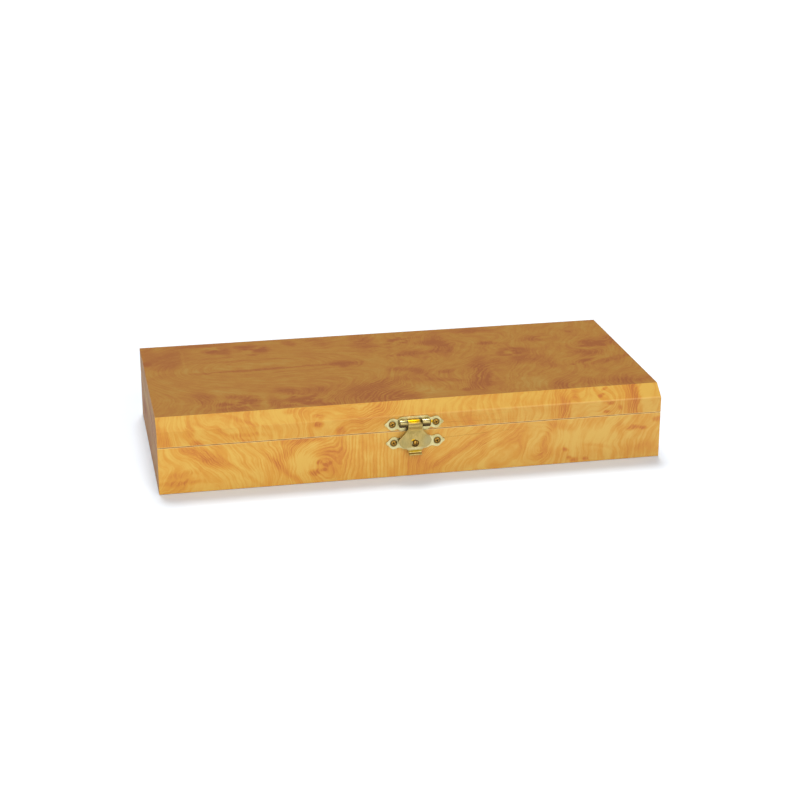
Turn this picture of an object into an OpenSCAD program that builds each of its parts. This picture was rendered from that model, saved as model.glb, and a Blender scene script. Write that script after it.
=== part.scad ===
// Hinged presentation case: a core board box with a burl skin, a lined
// interior, two mortised butt hinges and a brass hasp with a swinging leaf.
// Millimetres. Origin: middle of the underside. +Z up, the hasp faces -Y.

/* [Case] */
// Outside width of the case
case_w = 300; // [260:1:340]
// Outside depth of the case, without the hasp
case_d = 136; // [120:1:160]
// Height of the base, from the underside to its rim
base_h = 28.2; // [26:0.1:34]
// Height of the lid, from its rim to its top
lid_h = 15.6; // [15:0.1:20]
// Gap between the two rims when the lid is shut
rim_gap = 0.3; // [0.2:0.05:0.5]
// How far down the lid's front bevel reaches
bevel_drop = 6.3; // [4:0.1:6.5]
// How far back the lid's front bevel reaches
bevel_run = 8.7; // [5:0.1:12]

/* [Boards] */
// Thickness of the core board walls, without the skin
wall_t = 7; // [6:0.5:9]
// Thickness of the burl skin
skin_t = 0.5; // [0.4:0.1:0.8]
// Thickness of the lid's top panel
top_t = 5.8; // [5:0.1:6]
// Thickness of the floor panel
floor_t = 4; // [3:0.5:5]
// How far the floor panel is let into the walls
rabbet = 3.5; // [2.5:0.5:4]
// Thickness of the felt under the floor
felt_t = 1; // [0.8:0.1:1.5]

/* [Lining] */
// Thickness of the velvet-covered cards in the base
base_card_t = 1.5; // [1:0.1:2]
// Thickness of the satin-covered cards in the lid
lid_card_t = 1.2; // [0.8:0.1:1.5]
// Thickness of the board under the base cushion
base_board_t = 1.5; // [1:0.1:2]
// Thickness of the board behind the lid cushion
lid_board_t = 1; // [0.8:0.1:1.2]
// Thickness of the base cushion
base_pad_t = 6.6; // [5:0.1:8]
// Thickness of the lid cushion
lid_pad_t = 4; // [3:0.1:4.2]

/* [Hinges] */
// Length of each hinge along the back
hinge_len = 22; // [18:1:30]
// Distance of each hinge from the middle of the case
hinge_x = 96; // [80:1:105]
// Outside radius of the hinge knuckles
knuckle_r = 1.6; // [1.4:0.1:1.8]
// Radius of the hinge pins
hinge_pin_r = 0.8; // [0.7:0.05:0.9]
// Thickness of the hinge leaves
hinge_leaf_t = 0.8; // [0.7:0.05:1]
// How far the lid opens
lid_opening = 100; // [90:1:105]

/* [Hasp] */
// Height of the hasp plate's middle above the underside
hasp_plate_z = 32.9; // [32.8:0.1:33]
// Height of the hasp's pin above the underside
hasp_pin_z = 33.5; // [33.3:0.1:33.6]
// How far the hasp plate sits from the middle of the case
hasp_x = -1; // [-2:0.1:2]
// How far the catch plate sits from the middle of the case
catch_x = -0.2; // [-2:0.1:2]
// Distance of the hasp's pin from the front face
hasp_pin_out = 2.5; // [2.4:0.05:2.6]
// Outside radius of the hasp's knuckles
hasp_knuckle_r = 2.2; // [2.1:0.05:2.3]
// Radius of the hasp's pin
hasp_pin_r = 1.25; // [1:0.05:1.3]
// Thickness of the hasp's sheet brass
sheet_t = 0.8; // [0.7:0.05:0.9]
// Half the distance between the two screws of a plate
ear_x = 13; // [12:0.5:14]
// Half the overall width of a plate
tip_x = 17.6; // [17.4:0.1:18]
// Height of the catch plate's middle above the underside
catch_z = 21.3; // [20.8:0.1:21.8]
// Height of the catch stud above the underside
stud_z = 21.3; // [20.8:0.1:21.8]
// How far the hasp's leaf swings up
leaf_swing = 160; // [90:5:160]

/* [Hidden] */

// Board and skin sizes
core_w = case_w - 2 * skin_t;
core_d = case_d - 2 * skin_t;
inner_w = core_w - 2 * wall_t;
inner_d = core_d - 2 * wall_t;
lid_z = base_h + rim_gap;
case_h = lid_z + lid_h;
ceiling_z = case_h - skin_t - top_t;
floor_z = felt_t + floor_t;
front_y = -case_d / 2;
back_y = case_d / 2;

// Hinge geometry: the axis lies in the rim gap, one knuckle radius inside the back
axis_y = back_y - knuckle_r;
axis_z = base_h + rim_gap / 2;
stop_clearance = 0.6;
relief_angle = (lid_opening + stop_clearance) / 2;
relief_depth = 2 * knuckle_r;
knuckle_clearance = 0.25;
pin_clearance = 0.05;
lid_knuckle_half = 3.6;
knuckle_side_gap = 0.1;
hinge_leaf_y = inner_d / 2 + 0.2;
hinge_screw_x = 7.5;
hinge_screw_y = inner_d / 2 + 2.1;
screw_head_r = 1.6;
screw_shank_r = 0.8;
hinge_screw_len = 8;
pocket_gap = 0.1;

// Hasp geometry, outwards from the front face
leaf_half_w = 4.2;
leaf_side_gap = 0.25;
barrel_half = 9.4;
barrel_round = 0.9;
window_half_h = 1.9;
hasp_axis_y = front_y - hasp_pin_out;
neck_out = hasp_pin_out + hasp_knuckle_r;
shield_out = neck_out - sheet_t;
shield_back = shield_out - sheet_t;
stud_gap = 0.15;
stud_foot_r = 1;
stud_hole_r = 2.25;
stud_hole_z = 21.5;
hasp_screw_len = 6.2;
hasp_screw_head_r = 1.9;
hasp_screw_dome = 0.35;

// Colours
burl = [0.80, 0.56, 0.27];
board = [0.55, 0.38, 0.22];
card = [0.45, 0.42, 0.38];
velvet = [0.07, 0.10, 0.28];
satin = [0.90, 0.87, 0.80];
felt = [0.10, 0.22, 0.14];
brass = [0.80, 0.70, 0.38];
screw_brass = [0.70, 0.56, 0.26];

eps = 0.01;
far = 400;
$fn = 64;

// ---- shared shapes ----

// Points along a smooth curve through p, n steps to each stretch
function bend(a, b, c, d, t) = 0.5 * (2 * b + (c - a) * t + (2 * a - 5 * b + 4 * c - d) * t * t
    + (3 * b - a - 3 * c + d) * t * t * t);
function smooth(p, n = 4) = [
    for (i = [0:len(p) - 2], k = [0:n - 1])
        bend(p[max(i - 1, 0)], p[i], p[i + 1], p[min(i + 2, len(p) - 1)], k / n),
    p[len(p) - 1]
];
// A half outline, x at least 0 and running down, closed by its mirror image
function mirrored(p) = concat(p, [for (i = [len(p) - 1:-1:0]) [-p[i].x, p[i].y]]);
// The part of an arc from angle a0 to a1 about the point c
function arc(c, r, a0, a1, n = 12) = [
    for (i = [0:n]) c + r * [cos(a0 + (a1 - a0) * i / n), sin(a0 + (a1 - a0) * i / n)]
];

module along_x(length) {
    rotate([90, 0, 90])
        linear_extrude(height = length, center = true)
            children();
}

module rod_x(r, length) {
    rotate([0, 90, 0])
        cylinder(r = r, h = length, center = true);
}

module block(x0, x1, y0, y1, z0, z1) {
    translate([x0, y0, z0])
        cube([x1 - x0, y1 - y0, z1 - z0]);
}

// A mitred side of a rectangular frame: the -Y side
module front_side(w, d, t, z0, z1) {
    translate([0, 0, z0])
        linear_extrude(height = z1 - z0)
            polygon([
                [-w / 2, -d / 2], [w / 2, -d / 2],
                [w / 2 - t, -d / 2 + t], [-w / 2 + t, -d / 2 + t]
            ]);
}

// A mitred side of a rectangular frame: the -X side
module left_side(w, d, t, z0, z1) {
    translate([0, 0, z0])
        linear_extrude(height = z1 - z0)
            polygon([
                [-w / 2, -d / 2], [-w / 2 + t, -d / 2 + t],
                [-w / 2 + t, d / 2 - t], [-w / 2, d / 2]
            ]);
}

// ---- cuts for the hinges ----

// The V groove along the back, whose two faces meet to stop the lid; s widens it for the skin
module back_relief(s = 0) {
    apex = axis_y - s / sin(relief_angle);
    depth = relief_depth + s / sin(relief_angle);
    rise = depth * tan(relief_angle);
    along_x(case_w + 2)
        polygon([[apex, axis_z], [apex + depth, axis_z + rise], [apex + depth, axis_z - rise]]);
}

// Room for a hinge's leaf and barrel in a rim; side is -1 for the base, 1 for the lid
module hinge_pocket(side) {
    half = hinge_len / 2 + pocket_gap;
    z_leaf = axis_z + side * (rim_gap / 2 + hinge_leaf_t);
    for (x = [-hinge_x, hinge_x]) {
        block(x - half, x + half, hinge_leaf_y - pocket_gap, axis_y,
            min(z_leaf, axis_z), max(z_leaf, axis_z));
        translate([x, axis_y, axis_z])
            rod_x(knuckle_r + knuckle_clearance, 2 * half);
        for (s = [-1, 1])
            translate([x + s * hinge_screw_x, hinge_screw_y, axis_z])
                rotate([side < 0 ? 180 : 0, 0, 0])
                    cylinder(r = screw_shank_r, h = hinge_screw_len + 1);
    }
}

// Pilot holes for the two screws of a hasp plate at x and z
module hasp_pilots(x, z) {
    for (s = [-1, 1])
        translate([x + s * ear_x, front_y - 1, z])
            rotate([-90, 0, 0])
                cylinder(r = screw_shank_r, h = hasp_screw_len + 1);
}

// ---- base ----

module floor_rabbet() {
    half_w = inner_w / 2 + rabbet;
    half_d = inner_d / 2 + rabbet;
    block(-half_w, half_w, -half_d, half_d, -1, floor_z);
}

base_core_top = base_h - skin_t;

module base_front_wall() {
    color(board)
        difference() {
            front_side(core_w, core_d, wall_t, 0, base_core_top);
            floor_rabbet();
            hasp_pilots(catch_x, catch_z);
        }
}

module base_back_wall() {
    color(board)
        difference() {
            mirror([0, 1, 0])
                front_side(core_w, core_d, wall_t, 0, base_core_top);
            floor_rabbet();
            back_relief(skin_t);
            hinge_pocket(-1);
        }
}

module base_end_wall() {
    color(board)
        difference() {
            left_side(core_w, core_d, wall_t, 0, base_core_top);
            floor_rabbet();
            back_relief(skin_t);
        }
}

module base_left_wall() {
    base_end_wall();
}

module base_right_wall() {
    mirror([1, 0, 0])
        base_end_wall();
}

module base_floor_panel() {
    half_w = inner_w / 2 + rabbet;
    half_d = inner_d / 2 + rabbet;
    color(board)
        block(-half_w, half_w, -half_d, half_d, felt_t, floor_z);
}

module base_felt() {
    inset = 0.3;
    half_w = inner_w / 2 + rabbet - inset;
    half_d = inner_d / 2 + rabbet - inset;
    color(felt)
        block(-half_w, half_w, -half_d, half_d, 0, felt_t);
}

// The skin covers the outside, the rim and the groove, and is open above and below
module base_burl_skin() {
    color(burl)
        difference() {
            block(-case_w / 2, case_w / 2, front_y, back_y, 0, base_h);
            difference() {
                block(-core_w / 2, core_w / 2, -core_d / 2, core_d / 2, -1, base_core_top);
                back_relief(skin_t);
            }
            block(-inner_w / 2, inner_w / 2, -inner_d / 2, inner_d / 2, -1, base_h + 1);
            back_relief();
            hinge_pocket(-1);
            hasp_pilots(catch_x, catch_z);
        }
}

// ---- lid ----

// The bevel's unit vector along the slope, in Y and Z
bevel_len = sqrt(bevel_run * bevel_run + bevel_drop * bevel_drop);
bevel_slope = bevel_drop / bevel_run;

// The lid's section in Y and Z, set in by the distance s from its outside
module lid_section(s) {
    z_at_front = case_h - bevel_drop + s * bevel_slope - s * bevel_len / bevel_run;
    y_at_top = front_y + bevel_run - s / bevel_slope + s * bevel_len / bevel_drop;
    polygon([
        [front_y + s, lid_z + s], [front_y + s, z_at_front], [y_at_top, case_h - s],
        [back_y - s, case_h - s], [back_y - s, lid_z + s]
    ]);
}

// The space inside the skin, which the rails and the top panel fill
module lid_core() {
    difference() {
        along_x(core_w)
            lid_section(skin_t);
        back_relief(skin_t);
    }
}

module lid_front_rail() {
    color(board)
        difference() {
            intersection() {
                front_side(core_w, core_d, wall_t, lid_z, ceiling_z);
                lid_core();
            }
            hasp_pilots(hasp_x, hasp_plate_z);
        }
}

module lid_back_rail() {
    color(board)
        difference() {
            intersection() {
                mirror([0, 1, 0])
                    front_side(core_w, core_d, wall_t, lid_z, ceiling_z);
                lid_core();
            }
            hinge_pocket(1);
        }
}

module lid_left_rail() {
    color(board)
        intersection() {
            left_side(core_w, core_d, wall_t, lid_z, ceiling_z);
            lid_core();
        }
}

module lid_right_rail() {
    mirror([1, 0, 0])
        lid_left_rail();
}

module lid_top_panel() {
    color(board)
        intersection() {
            block(-core_w / 2, core_w / 2, -core_d / 2, core_d / 2, ceiling_z, case_h);
            lid_core();
        }
}

// The skin covers the outside, the rim and the groove, and is open below
module lid_burl_skin() {
    color(burl)
        difference() {
            along_x(case_w)
                lid_section(0);
            lid_core();
            block(-inner_w / 2, inner_w / 2, -inner_d / 2, inner_d / 2, lid_z - 1, lid_z + 1);
            back_relief();
            hinge_pocket(1);
            hasp_pilots(hasp_x, hasp_plate_z);
        }
}

// ---- lining ----

base_card_top = base_h - 0.5;
lid_card_bottom = lid_z + 0.5;
pad_gap = 0.4;

module base_lining_front() {
    color(velvet)
        front_side(inner_w, inner_d, base_card_t, floor_z, base_card_top);
}

module base_lining_back() {
    mirror([0, 1, 0])
        base_lining_front();
}

module base_lining_left() {
    color(velvet)
        left_side(inner_w, inner_d, base_card_t, floor_z, base_card_top);
}

module base_lining_right() {
    mirror([1, 0, 0])
        base_lining_left();
}

module lid_lining_front() {
    color(satin)
        front_side(inner_w, inner_d, lid_card_t, lid_card_bottom, ceiling_z);
}

module lid_lining_back() {
    mirror([0, 1, 0])
        lid_lining_front();
}

module lid_lining_left() {
    color(satin)
        left_side(inner_w, inner_d, lid_card_t, lid_card_bottom, ceiling_z);
}

module lid_lining_right() {
    mirror([1, 0, 0])
        lid_lining_left();
}

module base_insert(z0, z1) {
    half_w = inner_w / 2 - base_card_t - pad_gap;
    half_d = inner_d / 2 - base_card_t - pad_gap;
    block(-half_w, half_w, -half_d, half_d, z0, z1);
}

module lid_insert(z0, z1) {
    half_w = inner_w / 2 - lid_card_t - pad_gap;
    half_d = inner_d / 2 - lid_card_t - pad_gap;
    block(-half_w, half_w, -half_d, half_d, z0, z1);
}

module base_cushion_board() {
    color(card)
        base_insert(floor_z, floor_z + base_board_t);
}

module base_cushion() {
    color(velvet)
        base_insert(floor_z + base_board_t, floor_z + base_board_t + base_pad_t);
}

module lid_cushion_board() {
    color(card)
        lid_insert(ceiling_z - lid_board_t, ceiling_z);
}

module lid_cushion() {
    color(satin)
        lid_insert(ceiling_z - lid_board_t - lid_pad_t, ceiling_z - lid_board_t);
}

// ---- screws ----

// A countersunk cross-head screw: the rim of its head at z = 0, its tip down
module screw(head_r, head_t, length, dome) {
    slot_l = head_r * 1.15;
    slot_w = head_r * 0.26;
    slot_turn = 20;
    slot_floor = -0.6 * head_t;
    point = 1.2;
    difference() {
        rotate_extrude()
            polygon(concat(
                [[0, -length], [screw_shank_r, point - length], [screw_shank_r, -head_t], [head_r, 0]],
                dome > 0 ? [for (i = [1:4]) [head_r * (1 - i / 4), dome * (1 - pow(1 - i / 4, 2))]] : [[0, 0]]
            ));
        for (a = [0, 90])
            rotate([0, 0, a + slot_turn])
                translate([-slot_l / 2, -slot_w / 2, slot_floor])
                    cube([slot_l, slot_w, head_t + dome + 1]);
    }
}

module hinge_screws(side) {
    color(screw_brass)
        for (x = [-hinge_x, hinge_x], s = [-1, 1])
            translate([x + s * hinge_screw_x, hinge_screw_y, axis_z + side * rim_gap / 2])
                rotate([side > 0 ? 180 : 0, 0, 0])
                    screw(screw_head_r, hinge_leaf_t, hinge_screw_len, 0);
}

module hasp_screws(x, z) {
    color(screw_brass)
        for (s = [-1, 1])
            translate([x + s * ear_x, front_y - sheet_t, z])
                rotate([90, 0, 0])
                    screw(hasp_screw_head_r, sheet_t, hasp_screw_len, hasp_screw_dome);
}

module hinge_base_screws() {
    hinge_screws(-1);
}

module hinge_lid_screws() {
    hinge_screws(1);
}

module hasp_plate_screws() {
    hasp_screws(hasp_x, hasp_plate_z);
}

module hasp_catch_screws() {
    hasp_screws(catch_x, catch_z);
}

// ---- hinges ----

// One leaf about its own middle, with its knuckles; side is -1 for the base, 1 for the lid
module hinge_leaf(side) {
    half = hinge_len / 2;
    inner = lid_knuckle_half + knuckle_side_gap;
    own = side < 0 ? [[-half, -inner], [inner, half]] : [[-lid_knuckle_half, lid_knuckle_half]];
    z_rim = axis_z + side * rim_gap / 2;
    z_out = z_rim + side * hinge_leaf_t;
    plate_y = axis_y - knuckle_r - knuckle_clearance;
    color(brass)
        difference() {
            union() {
                block(-half, half, hinge_leaf_y, plate_y, min(z_rim, z_out), max(z_rim, z_out));
                for (k = own) {
                    block(k[0], k[1], plate_y, axis_y, min(z_rim, z_out), max(z_rim, z_out));
                    translate([(k[0] + k[1]) / 2, axis_y, axis_z])
                        rod_x(knuckle_r, k[1] - k[0]);
                }
            }
            translate([0, axis_y, axis_z])
                rod_x(hinge_pin_r + pin_clearance, hinge_len + 2);
            for (s = [-1, 1])
                translate([s * hinge_screw_x, hinge_screw_y, z_rim])
                    rotate([side > 0 ? 180 : 0, 0, 0])
                        translate([0, 0, -hinge_leaf_t])
                            cylinder(r1 = screw_shank_r, r2 = screw_head_r, h = hinge_leaf_t);
        }
}

module hinge_pin() {
    color(brass)
        translate([0, axis_y, axis_z])
            rod_x(hinge_pin_r, hinge_len);
}

module hinge_left_base_leaf() {
    translate([-hinge_x, 0, 0])
        hinge_leaf(-1);
}

module hinge_left_lid_leaf() {
    translate([-hinge_x, 0, 0])
        hinge_leaf(1);
}

module hinge_left_pin() {
    translate([-hinge_x, 0, 0])
        hinge_pin();
}

module hinge_right_base_leaf() {
    translate([hinge_x, 0, 0])
        hinge_leaf(-1);
}

module hinge_right_lid_leaf() {
    translate([hinge_x, 0, 0])
        hinge_leaf(1);
}

module hinge_right_pin() {
    translate([hinge_x, 0, 0])
        hinge_pin();
}

// ---- hasp ----

// A quarter of a plate's outline, from above its middle to the tip of its ear;
// the middle part has a cut corner between the points a and b
function plate_quarter(a, b) = concat(
    [[0, a.y], a],
    smooth([
        b, [b.x + 0.9, b.y + 0.05], [ear_x - 1.4, 3.5], [ear_x, 3.7], [ear_x + 1.2, 3.4],
        [ear_x + 2.4, 2.3], [ear_x + 3.3, 1.25], [tip_x - 0.5, 0.8], [tip_x, 0]
    ])
);
function right_half(q) = concat(q, [for (i = [len(q) - 2:-1:0]) [q[i].x, -q[i].y]]);
function whole(h) = concat(h, [for (i = [len(h) - 2:-1:1]) [-h[i].x, h[i].y]]);

// A sheet in front of the front face, from out0 to out1, drawn in X and Z
module front_sheet(x, z, out0, out1) {
    translate([x, front_y - out0, z])
        rotate([90, 0, 0])
            linear_extrude(height = out1 - out0)
                children();
}

module ear_holes(x, z) {
    for (s = [-1, 1])
        translate([x + s * ear_x, front_y - sheet_t, z])
            rotate([-90, 0, 0])
                cylinder(r1 = hasp_screw_head_r, r2 = screw_shank_r, h = sheet_t);
}

// A knuckle from x0 to x1 about the pin's axis, rounded at the x1 end
module knuckle(x0, x1) {
    r = hasp_knuckle_r;
    c = [r - barrel_round, x1 - barrel_round];
    rotate([0, 90, 0])
        rotate_extrude()
            polygon(concat([[0, x0], [r, x0]], arc(c, barrel_round, 0, 90, 6), [[0, x1]]));
}

module hasp_plate() {
    gap_x = leaf_half_w + leaf_side_gap;
    color(brass)
        difference() {
            union() {
                front_sheet(hasp_x, hasp_plate_z, 0, sheet_t)
                    polygon(whole(right_half(plate_quarter([7.8, 4.3], [9.8, 3]))));
                for (s = [0, 1])
                    translate([hasp_x, hasp_axis_y, hasp_pin_z])
                        mirror([s, 0, 0])
                            knuckle(gap_x, barrel_half);
            }
            // the window that the knuckles are rolled from
            block(hasp_x - gap_x, hasp_x + gap_x, front_y - sheet_t - 1, front_y + 1,
                hasp_pin_z - window_half_h, hasp_pin_z + window_half_h);
            translate([hasp_x, hasp_axis_y, hasp_pin_z])
                rod_x(hasp_pin_r + pin_clearance, 2 * barrel_half + 2);
            ear_holes(hasp_x, hasp_plate_z);
        }
}

module hasp_catch_plate() {
    color(brass)
        difference() {
            front_sheet(catch_x, catch_z, 0, sheet_t)
                polygon(whole(right_half(plate_quarter([6.2, 4.3], [9.6, 3]))));
            ear_holes(catch_x, catch_z);
            front_sheet(catch_x, stud_z, -1, sheet_t + 1)
                circle(r = stud_foot_r);
        }
}

module hasp_pin() {
    color(brass)
        translate([hasp_x, hasp_axis_y, hasp_pin_z])
            rod_x(hasp_pin_r, 2 * barrel_half);
}

// The split stud riveted into the catch plate; its tip stops just behind the leaf's round hole
module hasp_catch_stud() {
    tip = shield_back - stud_gap;
    head_out = tip - 0.9;
    neck_r = 1.25;
    head_r = 1.75;
    slot_w = 0.45;
    slot_out = sheet_t + 0.7;
    color(screw_brass)
        translate([catch_x, front_y, stud_z])
            rotate([90, 0, 0])
                difference() {
                    rotate_extrude()
                        polygon(concat(
                            [[0, 0], [stud_foot_r, 0], [stud_foot_r, sheet_t], [1.5, sheet_t],
                                [1.5, sheet_t + 0.3], [neck_r, sheet_t + 0.5], [neck_r, head_out - 0.3]],
                            [for (a = [0:22.5:90]) [head_r * cos(a), head_out + (tip - head_out) * sin(a)]]
                        ));
                    translate([-slot_w / 2, -5, slot_out])
                        cube([slot_w, 10, 5]);
                }
}

// Half of the leaf's outline below the pin: neck, flared shield and the tab of its lip
leaf_flare = smooth([
    [leaf_half_w, -2.9], [4.7, -4.2], [5.7, -5.4], [6.9, -6.6], [8.2, -8.0], [9.2, -9.1], [9.8, -10.1]
]);
leaf_cheek = smooth([[9.8, -10.4], [9.45, -11.7], [8.8, -12.9], [7.8, -13.9], [6.5, -14.8], [5.1, -15.3]]);
lip_half = 3.8;
lip_start = -17.15;
leaf_half = concat([[leaf_half_w, 3]], leaf_flare, leaf_cheek, [[4.3, -16.1], [lip_half, lip_start]]);

// The leaf's section: outwards from the face, and up from the pin
curl_in = 0.8;
curl_out = curl_in + sheet_t;
lip_reach = 0.9;
curl_middle = [shield_back + curl_out, lip_start];
leaf_section = concat(
    [[neck_out, 0], [neck_out, -1.4], [shield_out, -3.2], [shield_out, lip_start]],
    arc(curl_middle, curl_in, 180, 270),
    [[curl_middle.x + lip_reach, lip_start - curl_in], [curl_middle.x + lip_reach, lip_start - curl_out]],
    arc(curl_middle, curl_out, 270, 180),
    [[shield_back, -3.35], [neck_out - sheet_t, -1.55], [neck_out - sheet_t, 0]]
);

module hasp_leaf() {
    color(brass)
        difference() {
            union() {
                translate([hasp_x, hasp_axis_y, hasp_pin_z])
                    rod_x(hasp_knuckle_r, 2 * leaf_half_w);
                translate([hasp_x, 0, 0])
                    intersection() {
                        front_sheet(0, hasp_pin_z, 0, 10)
                            polygon(concat(
                                leaf_half, [[lip_half, -25], [-lip_half, -25]],
                                [for (i = [len(leaf_half) - 1:-1:0]) [-leaf_half[i].x, leaf_half[i].y]]
                            ));
                        along_x(2 * tip_x)
                            polygon([for (p = leaf_section) [front_y - p.x, hasp_pin_z + p.y]]);
                    }
            }
            translate([hasp_x, hasp_axis_y, hasp_pin_z])
                rod_x(hasp_pin_r + pin_clearance, 3 * leaf_half_w);
            front_sheet(hasp_x, stud_hole_z, 0, 10)
                circle(r = stud_hole_r);
            leaf_creases();
        }
}

// The shallow V pressed into the leaf below its neck
module leaf_creases() {
    crease_w = 0.3;
    crease_depth = 0.12;
    crease_l = 4.4;
    crease_turn = 42;
    for (s = [-1, 1])
        translate([hasp_x, front_y - shield_out + crease_depth, hasp_pin_z - 7])
            rotate([0, s * crease_turn, 0])
                translate([-crease_w / 2, -1, 0])
                    cube([crease_w, 1, crease_l]);
}

// ---- assembly ----

base_front_wall();
base_back_wall();
base_left_wall();
base_right_wall();
base_floor_panel();
base_burl_skin();
base_felt();
base_lining_front();
base_lining_back();
base_lining_left();
base_lining_right();
base_cushion_board();
base_cushion();
lid_front_rail();
lid_back_rail();
lid_left_rail();
lid_right_rail();
lid_top_panel();
lid_burl_skin();
lid_lining_front();
lid_lining_back();
lid_lining_left();
lid_lining_right();
lid_cushion_board();
lid_cushion();
hinge_left_base_leaf();
hinge_left_lid_leaf();
hinge_left_pin();
hinge_right_base_leaf();
hinge_right_lid_leaf();
hinge_right_pin();
hinge_base_screws();
hinge_lid_screws();
hasp_plate();
hasp_plate_screws();
hasp_pin();
hasp_leaf();
hasp_catch_plate();
hasp_catch_stud();
hasp_catch_screws();
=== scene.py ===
import math

import bmesh
import bpy
import numpy as np
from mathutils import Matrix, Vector


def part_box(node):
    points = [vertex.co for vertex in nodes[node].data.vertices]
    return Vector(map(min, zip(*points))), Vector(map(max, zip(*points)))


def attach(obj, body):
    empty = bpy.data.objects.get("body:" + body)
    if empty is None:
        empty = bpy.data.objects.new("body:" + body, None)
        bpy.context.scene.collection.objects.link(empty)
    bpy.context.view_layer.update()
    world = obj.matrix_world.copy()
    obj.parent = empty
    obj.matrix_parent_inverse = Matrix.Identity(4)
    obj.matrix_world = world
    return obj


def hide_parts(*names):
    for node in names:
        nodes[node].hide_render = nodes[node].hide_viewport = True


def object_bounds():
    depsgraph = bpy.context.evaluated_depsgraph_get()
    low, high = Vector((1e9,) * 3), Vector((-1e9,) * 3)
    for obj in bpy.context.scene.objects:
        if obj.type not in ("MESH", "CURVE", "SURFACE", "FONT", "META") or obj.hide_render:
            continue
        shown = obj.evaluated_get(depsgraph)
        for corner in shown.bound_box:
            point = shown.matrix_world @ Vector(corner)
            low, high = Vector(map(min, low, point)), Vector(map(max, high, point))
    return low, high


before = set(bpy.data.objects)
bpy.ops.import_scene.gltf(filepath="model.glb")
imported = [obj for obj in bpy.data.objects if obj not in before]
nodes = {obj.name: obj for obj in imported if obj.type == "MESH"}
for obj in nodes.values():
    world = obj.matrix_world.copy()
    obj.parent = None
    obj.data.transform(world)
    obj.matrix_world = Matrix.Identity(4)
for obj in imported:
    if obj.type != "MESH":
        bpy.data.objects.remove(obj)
cad_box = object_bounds()

MM = 0.001
SKINS = ("base_burl_skin", "lid_burl_skin")
SKIN_LOW, SKIN_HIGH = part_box("lid_burl_skin")
FRONT_Y = SKIN_LOW.y
HALF_WIDTH = SKIN_HIGH.x
# Heights in millimetres of the middle of the gap between base and lid, and of the fold below the bevel.
SEAM_HEIGHT = (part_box("base_burl_skin")[1].z + SKIN_LOW.z) / 2 / MM
BEVEL_DROP = 6.3
FOLD_HEIGHT = SKIN_HIGH.z / MM - BEVEL_DROP

# Middles of the hasp's screw heads, seen from the front in millimetres.
PLATE_SCREWS = [(-14, 32.9), (12, 32.9), (-13.2, 21.3), (12.8, 21.3)]
# Colours laid on the hasp: a colour, and the soft oval it fills; on the leaf some are painted shade and a
# painted glint, as marked. The tables of the wrap say how an oval is given.
PLATE_PATCHES = [("D9A514", (9.5, 33.4, 1.3, 0.8, 0, 1.2))]
LEAF_PATCHES = [
    ("9A8C5C", (-7.5, 21.5, 2.6, 4.0, 20, 0.5)), ("A2986E", (6.6, 22.5, 2.6, 4.2, -20, 0.6)),
    ("B8964E", (-1, 30.5, 4.5, 1.2, 0, 0.6)), ("C9BC8C", (-1, 18.4, 5.0, 0.7, 0, 0.8)),
    # dark tan under the knuckle's yellow band: painted shade, dimming the highlight there
    ("8A7242", (-1, 33.9, 5.0, 0.7, 0, 1.2)), ("D0A400", (-1.6, 35.4, 3.6, 0.75, 0, 1.4)),
    # dark brown at the knuckle's right end: painted shade; yellow at the upper left of the hole: a painted
    # glint
    ("4A3714", (2.7, 35.2, 0.8, 1.1, 0, 1.2)), ("E0AA00", (-2.2, 23.6, 0.9, 0.6, 20, 1.0)),
    ("A8860F", (-1, 16.7, 4.2, 0.55, 0, 1.2)),
]


# ---------- a short way to write shader nodes ----------
# In the functions that follow, g is the Graph of the material being made.

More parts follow.
